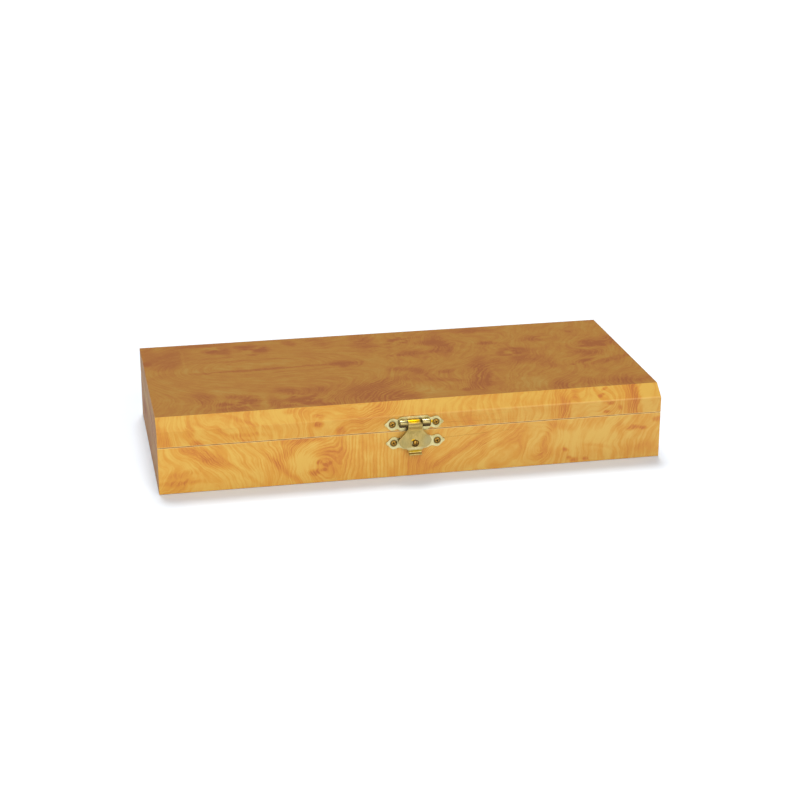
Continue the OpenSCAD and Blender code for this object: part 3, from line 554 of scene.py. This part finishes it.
def felt_material():
    """Green pressed felt."""
    g = Graph("green_felt")
    point = coordinates(g)
    hairs = g.noise(point, 1100.0, 4.0, 0.75, distortion=2.0)
    pressed = g.noise(point, 60.0)
    colour = g.ramp(g.math("MULTIPLY_ADD", hairs, 0.6, g.math("MULTIPLY", pressed, 0.4)),
                    (0.3, rgb("0F2A1C")), (0.7, rgb("2E5A40")))
    return g.surface(Base_Color=colour, Roughness=1.0, Normal=g.bump(hairs, 0.8, 0.0003),
                     Sheen_Weight=0.4, Sheen_Roughness=0.6)


def nearest(g, point, places):
    """The distance from a point to the nearest of some places."""
    least = None
    for place in places:
        away = g.vec("DISTANCE", point, place, output="Value")
        least = away if least is None else g.math("MINIMUM", least, away)
    return least


def face_point(g):
    """A point seen from the front: x and height, in millimetres."""
    x, _, z = g.split(g.vec("SCALE", coordinates(g), scale=1 / MM))
    return g.join(x, z)


def brass_material(name, pale, warm, roughness, patches=(), screws=(), brush=(1.0, 1.0, 9.0), raised=None):
    """Brushed brass with patches of colour, among them painted shade and a painted glint, dark rings round
    the screws that are patina and painted shade of their countersinks, and, where it is raised further off
    the case, painted light and shade: pale facing up, browner facing down.
    """
    g = Graph(name)
    point = coordinates(g)
    cloudy = g.noise(point, 260.0)
    strokes = g.noise(g.vec("MULTIPLY", point, brush), 1500.0, 2.0, 0.6)
    shade = g.math("MULTIPLY_ADD", strokes, 0.55, g.math("MULTIPLY", cloudy, 0.45))
    colour = g.ramp(shade, (0.38, warm), (0.58, pale))
    rough = g.ease(cloudy, 0.3, 0.7, roughness - 0.05, roughness + 0.08)
    if raised:
        # painted light and shade on the raised knuckles: pale where they face up, dark brown where they
        # face down
        out = g.math("SUBTRACT", FRONT_Y, g.split(point)[1])
        up = g.ease(g.split(coordinates(g, "Normal"))[2], -0.2, 0.95)
        knuckle_light_and_shade = g.ramp(up, (0.0, rgb("54442A")), (0.5, rgb("8A7A4A")), (1.0, rgb("BEB07C")))
        colour = g.pick(g.math("GREATER_THAN", out, raised), colour, knuckle_light_and_shade)
    for patch_colour, oval in patches:
        share = g.math("MINIMUM", soft_ovals(g, face_point(g), [oval]), 1.0)
        colour = g.pick(share, colour, rgb(patch_colour))
    if screws:
        # dark rings round the screw heads: patina, and painted shade of the countersinks they sit in
        ring_patina_and_shade = g.ease(nearest(g, face_point(g), screws), 2.5, 1.95, 0.0, 0.8)
        colour = g.pick(ring_patina_and_shade, colour, rgb("54401A"))
    normal = g.bump(strokes, 0.15, 0.00006)
    return g.surface(Base_Color=colour, Metallic=1.0, Roughness=rough, Normal=normal)


def screw_material(name, out, dome):
    """Amber brass with painted shade: the lower a point lies, the darker, so rims and slots are dark and
    dome tops light; rims stand out from the face, and middles a dome further.
    """
    g = Graph(name)
    point = coordinates(g)
    turned = g.noise(point, 1400.0, 2.0, 0.6)
    # painted shade: darker the further a point lies below the dome's top
    rise = g.math("DIVIDE", g.math("SUBTRACT", FRONT_Y - out, g.split(point)[1]), dome)
    shade = g.math("MULTIPLY_ADD", g.math("SUBTRACT", turned, 0.5), 0.5, rise)
    colour = g.ramp(shade, (0.0, rgb("33220C")), (0.35, rgb("805C22")), (0.9, rgb("B58A3E")))
    return g.surface(Base_Color=colour, Metallic=1.0, Roughness=0.45, Normal=g.bump(turned, 0.3, 0.0001))


# ---------- soft pieces ----------

CLOTH_FRAMES = 20
# The gap left round a cushion.
CUSHION_GAP = 0.0003


def spaced(half, step, edge):
    """Places from -half to half, closer together near the ends, where the pad's edge curves."""
    ends = [half - edge * share for share in (0.0, 0.06, 0.22, 0.48, 0.85, 1.35)]
    inner = ends[-1] - step * 0.6
    count = max(2, round(2 * inner / step) + 1)
    middle = np.linspace(-inner, inner, count)
    return np.concatenate([-np.array(ends), middle, np.array(ends[::-1])])


def pad(name, half_u, half_v, thick, edge, step, corner=0.0):
    """A closed pad, as grids of u, v and the height s of its front, which is round at the edges."""
    u, v = np.meshgrid(spaced(half_u, step, edge), spaced(half_v, step, edge), indexing="ij")
    from_edge = np.minimum(half_u - abs(u), half_v - abs(v))
    rounding = 1 - np.clip(from_edge / edge, 0, 1)
    s = thick * np.sqrt(1 - rounding ** 2)
    if corner:
        a = np.clip((abs(u) - half_u + corner) / corner, 0, 1)
        b = np.clip((abs(v) - half_v + corner) / corner, 0, 1)
        u = np.sign(u) * (abs(u) - a * corner * (1 - np.sqrt(1 - b * b / 2)))
        v = np.sign(v) * (abs(v) - b * corner * (1 - np.sqrt(1 - a * a / 2)))
    return {"name": name, "u": u, "v": v, "s": s}


def pad_piece(shape, place):
    """Makes the pad's piece, whose back is flat at s = 0; place turns its (u, v, s) into (x, y, z)."""
    u, v, s = shape["u"], shape["v"], shape["s"]
    rows, columns = u.shape
    number = -np.ones((2, rows, columns), dtype=int)
    points, faces = [], []
    for side in (0, 1):
        for i in range(rows):
            for j in range(columns):
                rim = i in (0, rows - 1) or j in (0, columns - 1)
                if side and rim:
                    number[1, i, j] = number[0, i, j]
                    continue
                number[side, i, j] = len(points)
                points.append(place(u[i, j], v[i, j], 0.0 if side else s[i, j]))
    for side in (0, 1):
        for i in range(rows - 1):
            for j in range(columns - 1):
                corners = ((i, j), (i + 1, j), (i + 1, j + 1), (i, j + 1))
                ring = [number[side, row, column] for row, column in corners]
                faces.append(ring[::-1] if side else ring)
    return mesh_piece(shape["name"], points, faces)


def mesh_piece(name, points, faces):
    """A new piece with smooth faces that all look outward."""
    mesh = bpy.data.meshes.new(name)
    mesh.from_pydata([tuple(p) for p in points], [], faces)
    piece = bpy.data.objects.new(name, mesh)
    bpy.context.scene.collection.objects.link(piece)
    work = bmesh.new()
    work.from_mesh(mesh)
    bmesh.ops.recalc_face_normals(work, faces=work.faces)
    for face in work.faces:
        face.smooth = True
    work.to_mesh(mesh)
    work.free()
    return piece


def points_of(mesh):
    flat = np.empty(len(mesh.vertices) * 3)
    mesh.vertices.foreach_get("co", flat)
    return flat.reshape(-1, 3)


def set_points(mesh, points):
    mesh.vertices.foreach_set("co", points.ravel())
    mesh.update()


def inflate(piece, held, cap):
    """Cloth pressure swells the pad between its held points, and no point moves further than the cap."""
    scene = bpy.context.scene
    start = points_of(piece.data)
    group = piece.vertex_groups.new(name="held")
    for index in np.nonzero(held > 0.02)[0]:
        group.add([int(index)], float(held[index]), "REPLACE")
    cloth = piece.modifiers.new("cloth", "CLOTH")
    cloth.point_cache.frame_end = CLOTH_FRAMES
    cloth.settings.quality = 5
    cloth.settings.mass = 0.2
    cloth.settings.tension_stiffness = 8
    cloth.settings.compression_stiffness = 8
    cloth.settings.bending_stiffness = 0.1
    cloth.settings.use_pressure = True
    cloth.settings.uniform_pressure_force = 5
    cloth.settings.effector_weights.gravity = 0
    cloth.settings.vertex_group_mass = "held"
    for frame_number in range(1, CLOTH_FRAMES + 1):
        scene.frame_set(frame_number)
    swollen = points_of(piece.evaluated_get(bpy.context.evaluated_depsgraph_get()).data)
    piece.modifiers.remove(cloth)
    piece.vertex_groups.clear()
    scene.frame_set(1)
    moves = swollen - start
    length = np.linalg.norm(moves, axis=1, keepdims=True)
    set_points(piece.data, start + moves * np.minimum(1, cap / np.maximum(length, 1e-9)))


def subdivide(piece):
    """Splits each face in four and smooths the mesh."""
    modifier = piece.modifiers.new("smooth", "SUBSURF")
    modifier.levels = 1
    mesh = bpy.data.meshes.new_from_object(piece.evaluated_get(bpy.context.evaluated_depsgraph_get()))
    piece.modifiers.clear()
    piece.data = mesh
    for polygon in mesh.polygons:
        polygon.use_smooth = True


def settle(piece, material, body, slot_name, *replaced):
    """Gives a new piece its material and its body, and hides the CAD nodes that it stands for. slot_name is
    not used.
    """
    piece.data.materials.clear()
    piece.data.materials.append(material)
    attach(piece, body)
    if replaced:
        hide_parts(*replaced)


def clamp_to(piece, low, high):
    set_points(piece.data, np.clip(points_of(piece.data), low, high))


def on_circle(x, y, radius, degrees, z):
    """The point at an angle on a level circle."""
    angle = math.radians(degrees)
    return (x + radius * math.cos(angle), y + radius * math.sin(angle), z)


def loop_round(half_x, half_y, corner, z, step):
    """Points round a rectangle with round corners."""
    points = []
    centres = [(half_x - corner, half_y - corner, 0), (corner - half_x, half_y - corner, 90),
               (corner - half_x, corner - half_y, 180), (half_x - corner, corner - half_y, 270)]
    for index, (x, y, turn) in enumerate(centres):
        for angle in range(turn, turn + 91, 15):
            points.append(on_circle(x, y, corner, angle, z))
        next_x, next_y, next_turn = centres[(index + 1) % 4]
        start, end = points[-1], on_circle(next_x, next_y, corner, next_turn, z)
        count = round(math.dist(start, end) / step)
        points += [tuple(Vector(start).lerp(Vector(end), n / count)) for n in range(1, count)]
    return points


def tube(name, path, radius):
    """A tube along a closed loop of points."""
    count, sides = len(path), 10
    points, faces = [], []
    for index in range(count):
        here = Vector(path[index])
        way = (Vector(path[(index + 1) % count]) - Vector(path[index - 1])).normalized()
        out = way.cross(Vector((0, 0, 1))).normalized()
        for side in range(sides):
            angle = 2 * math.pi * side / sides
            swell = radius * (1 + 0.05 * math.sin(angle * 2 + index * 0.9))
            points.append(here + out * math.cos(angle) * swell + Vector((0, 0, math.sin(angle) * swell)))
    for index in range(count):
        for side in range(sides):
            a, b = index * sides, (index + 1) % count * sides
            after = (side + 1) % sides
            faces.append((a + side, a + after, b + after, b + side))
    return mesh_piece(name, points, faces)


def beads(name, places, sizes, rings, sides):
    """Many small rounded lumps, each at (x, y, z, turn), of half sizes (along, across, high)."""
    points, faces = [], []
    for x, y, z, turn in places:
        first = len(points)
        for ring in range(1, rings):
            polar = math.pi * ring / rings
            for side in range(sides):
                angle = 2 * math.pi * side / sides
                a = sizes[0] * math.sin(polar) * math.cos(angle)
                b = sizes[1] * math.sin(polar) * math.sin(angle)
                ahead = a * math.cos(turn) - b * math.sin(turn)
                aside = a * math.sin(turn) + b * math.cos(turn)
                points.append((x + ahead, y + aside, z + sizes[2] * math.cos(polar)))
        top, foot = len(points), len(points) + 1
        points += [(x, y, z + sizes[2]), (x, y, z - sizes[2])]
        for side in range(sides):
            after = (side + 1) % sides
            faces.append((top, first + side, first + after))
            last = first + (rings - 2) * sides
            faces.append((foot, last + after, last + side))
            for ring in range(rings - 2):
                a, b = first + ring * sides, first + (ring + 1) * sides
                faces.append((a + side, b + side, b + after, a + after))
    return mesh_piece(name, points, faces)


def make_tray_cushion(velvet):
    """The velvet cushion in the base: a padded border, a sewn channel, and a panel inside it."""
    low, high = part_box("base_cushion")
    half_x, half_y = high.x - CUSHION_GAP, high.y - CUSHION_GAP
    rise = high.z - low.z
    border, bend = 0.011, 0.012
    channel_depth = 0.0022
    shape = pad("tray_cushion", half_x, half_y, rise - 0.0020, edge=0.0035, step=0.0026, corner=0.005)
    shape["u"] *= 1 - 0.0030 * (1 - (shape["v"] / half_y) ** 2)
    shape["v"] *= 1 - 0.0060 * (1 - (shape["u"] / half_x) ** 2)
    piece = pad_piece(shape, lambda u, v, s: (u, v, low.z + s))

    def from_channel(points):
        inner_x, inner_y = half_x - border, half_y - border
        away = np.stack([abs(points[:, 0]) - inner_x + bend, abs(points[:, 1]) - inner_y + bend], 1)
        outside = np.linalg.norm(np.maximum(away, 0), axis=1)
        return outside + np.minimum(away.max(axis=1), 0) - bend

    start = points_of(piece.data)
    flat_back = start[:, 2] < low.z + 0.0001
    groove = np.exp(-(from_channel(start) / 0.0016) ** 2)
    start[:, 2] -= np.where(flat_back, 0, groove * channel_depth)
    set_points(piece.data, start)
    inflate(piece, np.where(flat_back, 1.0, groove), channel_depth)
    subdivide(piece)
    # the seam pulls its line in, and the velvet puckers beside it
    points = points_of(piece.data)
    upper = np.clip((points[:, 2] - low.z) / rise, 0, 1)
    near = from_channel(points)
    points[:, 2] -= upper * 0.0006 * np.exp(-(near / 0.0009) ** 2)
    pucker = np.exp(-(near / 0.005) ** 2) * np.sin(points[:, 0] * 900) * np.sin(points[:, 1] * 900)
    points[:, 2] += upper * 0.00012 * pucker
    set_points(piece.data, points)
    clamp_to(piece, (-half_x, -half_y, low.z), (half_x, half_y, high.z))
    settle(piece, velvet, "base", "velvet", "base_cushion")

    cord = cord_material()
    route = loop_round(half_x - 0.0010, half_y - 0.0010, 0.006, low.z + 0.0030, step=0.003)
    settle(tube("tray_piping", route, radius=0.0009), cord, "base", "velvet")
    route = loop_round(half_x - border, half_y - border, bend, low.z + 0.0034, step=0.0028)
    places = []
    for index, (x, y, z) in enumerate(route):
        ahead, behind = route[(index + 1) % len(route)], route[index - 1]
        places.append((x, y, z, math.atan2(ahead[1] - behind[1], ahead[0] - behind[0])))
    stitches = beads("tray_stitches", places, (0.0011, 0.00028, 0.00035), rings=4, sides=8)
    settle(stitches, cord, "base", "velvet")


def make_lid_cushion(satin):
    """The satin cushion in the lid: quilted in diamonds, with a covered button where the seams cross."""
    low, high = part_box("lid_cushion")
    half_x, half_y = high.x - CUSHION_GAP, high.y - CUSHION_GAP
    rise = high.z - low.z
    cell_x, cell_y = 2 * high.x / 5, high.y
    seam_depth = 0.0014
    shape = pad("lid_cushion_quilt", half_x, half_y, rise - 0.0009, edge=0.0030, step=0.0026, corner=0.004)
    piece = pad_piece(shape, lambda u, v, s: (u, v, high.z - s))

    def from_seam(points):
        a, b = points[:, 0] / cell_x + 0.5, points[:, 1] / cell_y
        away = [abs((a + sign * b + 0.5) % 1 - 0.5) for sign in (1, -1)]
        return np.minimum(*away) / math.hypot(1 / cell_x, 1 / cell_y)

    start = points_of(piece.data)
    flat_back = start[:, 2] > high.z - 0.0001
    groove = np.exp(-(from_seam(start) / 0.0022) ** 2)
    start[:, 2] += np.where(flat_back, 0, groove * seam_depth)
    set_points(piece.data, start)
    inflate(piece, np.where(flat_back, 1.0, groove), seam_depth)
    subdivide(piece)
    # the seams pull their lines in, and each button a hollow with six folds
    points = points_of(piece.data)
    share = np.clip((high.z - points[:, 2]) / rise, 0, 1)
    points[:, 2] += share * 0.0009 * np.exp(-(from_seam(points) / 0.0011) ** 2)
    crossings = [(i, j) for i in range(-4, 5) for j in (-1, 0, 1) if (i + j) % 2]
    buttons = [(i * cell_x / 2, j * cell_y / 2) for i, j in crossings]
    for x, y in buttons:
        away = np.hypot(points[:, 0] - x, points[:, 1] - y)
        folds = 1 + 0.35 * np.cos(6 * np.arctan2(points[:, 1] - y, points[:, 0] - x))
        points[:, 2] += share * 0.0009 * np.exp(-(away / 0.0045) ** 2) * folds
    set_points(piece.data, points)
    clamp_to(piece, (-half_x, -half_y, low.z), (half_x, half_y, high.z))
    settle(piece, satin, "lid", "satin", "lid_cushion")
    places = [(x, y, low.z + 0.0019, 0) for x, y in buttons]
    knobs = beads("lid_buttons", places, (0.0043, 0.0043, 0.0014), rings=8, sides=20)
    settle(knobs, satin, "lid", "satin")


def make_lining(node, material, body, slot_name, step, relief):
    """A covered card against a wall; relief gives the share of its thickness that it has at (u, v)."""
    low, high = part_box(node)
    size, middle = high - low, (low + high) / 2
    lengthwise = size.x > size.y
    half_u, thick = (size.x / 2, size.y) if lengthwise else (size.y / 2, size.x)
    shape = pad(node + "_cloth", half_u - 0.0001, size.z / 2 - 0.0001, thick, edge=0.0008, step=step)
    shape["s"] *= relief(shape["u"], shape["v"])
    across = middle.y if lengthwise else middle.x
    inward = -1 if across > 0 else 1
    wall = across - inward * thick / 2

    def place(u, v, s):
        level = u * (1 - s / half_u)
        if lengthwise:
            return (middle.x + level, wall + inward * s, middle.z + v)
        return (wall + inward * s, middle.y + level, middle.z + v)

    settle(pad_piece(shape, place), material, body, slot_name, node)


def make_linings(velvet, satin):
    """Velvet cards round the tray, and cards of gathered satin round the lid."""
    def smooth_pile(u, v):
        return 0.93 + 0.035 * np.sin(u * 210 + 3 * np.sin(v * 140)) + 0.03 * np.sin(v * 300 + u * 45)

    def gathers(u, v):
        folds = np.sin(u * 2 * math.pi / 0.0062 + 1.3 * np.sin(v * 400) + 2.0 * np.sin(u * 37))
        return 0.80 + 0.19 * folds * (0.75 + 0.25 * np.cos(u * 90))

    for side in ("front", "back", "left", "right"):
        make_lining(f"base_lining_{side}", velvet, "base", "velvet", step=0.003, relief=smooth_pile)
        make_lining(f"lid_lining_{side}", satin, "lid", "satin", step=0.0012, relief=gathers)


def make_felt(material):
    """The felt sheet under the floor, with its nap a little uneven."""
    low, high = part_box("base_felt")
    half_x, half_y, thick = high.x - 0.0002, high.y - 0.0002, high.z - low.z
    shape = pad("underside_felt", half_x, half_y, thick, edge=0.0005, step=0.004)
    u, v = shape["u"], shape["v"]
    shape["s"] *= 0.975 + 0.025 * np.sin(u * 260 + 2 * np.sin(v * 190)) * np.sin(v * 310 + u * 70)
    piece = pad_piece(shape, lambda u, v, s: (u, v, high.z - s))
    settle(piece, material, "base", "felt", "base_felt")


# ---------- finish of the CAD nodes ----------

def rounded(name, width, angle=35):
    """Rounds a CAD node's edges, once a weld has joined its faces, which come in apart."""
    weld = nodes[name].modifiers.new("weld", "WELD")
    weld.merge_threshold = 0.00001
    bevel = nodes[name].modifiers.new("bevel", "BEVEL")
    bevel.width = width
    bevel.segments = 2
    bevel.limit_method = "ANGLE"
    bevel.angle_limit = math.radians(angle)
    bevel.harden_normals = True


def paint(material, *names):
    for name in names:
        nodes[name].data.materials.clear()
        nodes[name].data.materials.append(material)


def finish_cad_nodes():
    """Paints the visible CAD nodes, and rounds the wrap, the hasp and the hinge leaves."""
    paint(burl_material(), *SKINS)
    paint(board_material(), *[n for n in nodes if n.endswith(("_wall", "_rail", "_panel"))])
    paint(card_material(), "base_cushion_board", "lid_cushion_board")
    hinge_brass = brass_material("hinge_brass", rgb("BDB07A"), rgb("9C8950"), 0.32)
    paint(hinge_brass, *[n for n in nodes if n.startswith("hinge_") and not n.endswith("screws")])
    heads = [(x, z, 0) for x, z in PLATE_SCREWS]
    plates = brass_material("plate_brass", rgb("D4C894"), rgb("B0A060"), 0.32, PLATE_PATCHES, heads,
                            raised=0.00085)
    paint(plates, "hasp_plate", "hasp_catch_plate")
    paint(brass_material("pin_brass", rgb("A89A62"), rgb("6E5C2C"), 0.30), "hasp_pin")
    leaf = brass_material("leaf_brass", rgb("B69E60"), rgb("988248"), 0.38, LEAF_PATCHES,
                          brush=(4.0, 4.0, 0.25))
    paint(leaf, "hasp_leaf")
    screws = screw_material("amber_screws", out=0.0008, dome=0.00035)
    paint(screws, "hasp_plate_screws", "hasp_catch_screws")
    paint(screw_material("amber_stud", out=0.0019, dome=0.0010), "hasp_catch_stud")
    hinge_screws = brass_material("hinge_screw_brass", rgb("C9A552"), rgb("93702C"), 0.32)
    paint(hinge_screws, "hinge_base_screws", "hinge_lid_screws")
    for name in SKINS:
        rounded(name, width=0.00016)
    for name in nodes:
        if name.startswith("hasp_") or (name.startswith("hinge_") and name.endswith("leaf")):
            rounded(name, width=0.00010, angle=40)


# ---------- stage, light and camera ----------

def sun(name, toward, power, spread):
    """A sun that shines toward a direction, and whose disc is spread degrees wide."""
    data = bpy.data.lights.new(name, "SUN")
    data.energy = power
    data.angle = math.radians(spread)
    light = bpy.data.objects.new(name, data)
    light.rotation_euler = Vector(toward).to_track_quat("-Z", "Y").to_euler()
    bpy.context.scene.collection.objects.link(light)


def make_floor():
    """A plain pale floor just under the case."""
    g = Graph("pale_floor")
    dust = g.noise(coordinates(g), 3.0)
    colour = g.ramp(dust, (0.0, (0.83, 0.885, 0.95, 1)), (1.0, (0.85, 0.905, 0.97, 1)))
    material = g.surface(Base_Color=colour, Roughness=0.9, Specular_IOR_Level=0.1)
    mesh = bpy.data.meshes.new("floor")
    half = 6.0
    corners = [(-half, -half, 0), (half, -half, 0), (half, half, 0), (-half, half, 0)]
    mesh.from_pydata(corners, [], [(0, 1, 2, 3)])
    mesh.materials.append(material)
    floor = bpy.data.objects.new("floor", mesh)
    floor.location.z = cad_box[0][2] - 0.0002
    bpy.context.scene.collection.objects.link(floor)


def make_light():
    """A sky brightest in front and above, a broad sun from the front, and a narrower one from behind."""
    world = bpy.data.worlds.new("studio")
    world.use_nodes = True
    tree = world.node_tree
    place = tree.nodes.new("ShaderNodeTexCoord")
    toward = tree.nodes.new("ShaderNodeVectorMath")
    toward.operation = "DOT_PRODUCT"
    toward.inputs[1].default_value = (0.0, -0.50, 0.87)
    spread = tree.nodes.new("ShaderNodeMapRange")
    spread.interpolation_type = "SMOOTHSTEP"
    for index, value in enumerate((-0.1, 0.9, 0.08, 0.35), 1):
        spread.inputs[index].default_value = value
    tree.links.new(place.outputs["Generated"], toward.inputs[0])
    tree.links.new(toward.outputs["Value"], spread.inputs[0])
    # behind the floor the camera sees plain white, while the light keeps its gradient
    path = tree.nodes.new("ShaderNodeLightPath")
    seen = tree.nodes.new("ShaderNodeMath")
    seen.operation = "MAXIMUM"
    tree.links.new(spread.outputs[0], seen.inputs[0])
    tree.links.new(path.outputs["Is Camera Ray"], seen.inputs[1])
    tree.links.new(seen.outputs[0], tree.nodes["Background"].inputs["Strength"])
    tree.nodes["Background"].inputs["Color"].default_value = (1, 1, 1, 1)
    bpy.context.scene.world = world

    sun("key", (-0.05, 0.96, -0.28), power=3.1, spread=75)
    sun("back", (0.0, -0.42, -0.91), power=2.5, spread=25)


def make_camera():
    """The photo's camera, as found from the case's corners in it."""
    turn, lift = math.radians(-11.57), math.radians(20.09)
    data = bpy.data.cameras.new("camera")
    data.lens = 81.22
    data.sensor_width = 36
    camera = bpy.data.objects.new("camera", data)
    camera.location = (-0.20596, -1.02870, 0.40624)
    camera.rotation_euler = (math.pi / 2 - lift, 0, turn)
    bpy.context.scene.collection.objects.link(camera)
    bpy.context.scene.camera = camera
    bpy.context.scene.view_settings.view_transform = "Standard"


make_camera()
make_floor()
make_light()
finish_cad_nodes()
velvet, satin = velvet_material(), satin_material()
make_tray_cushion(velvet)
make_lid_cushion(satin)
make_linings(velvet, satin)
make_felt(felt_material())

bpy.context.view_layer.update()
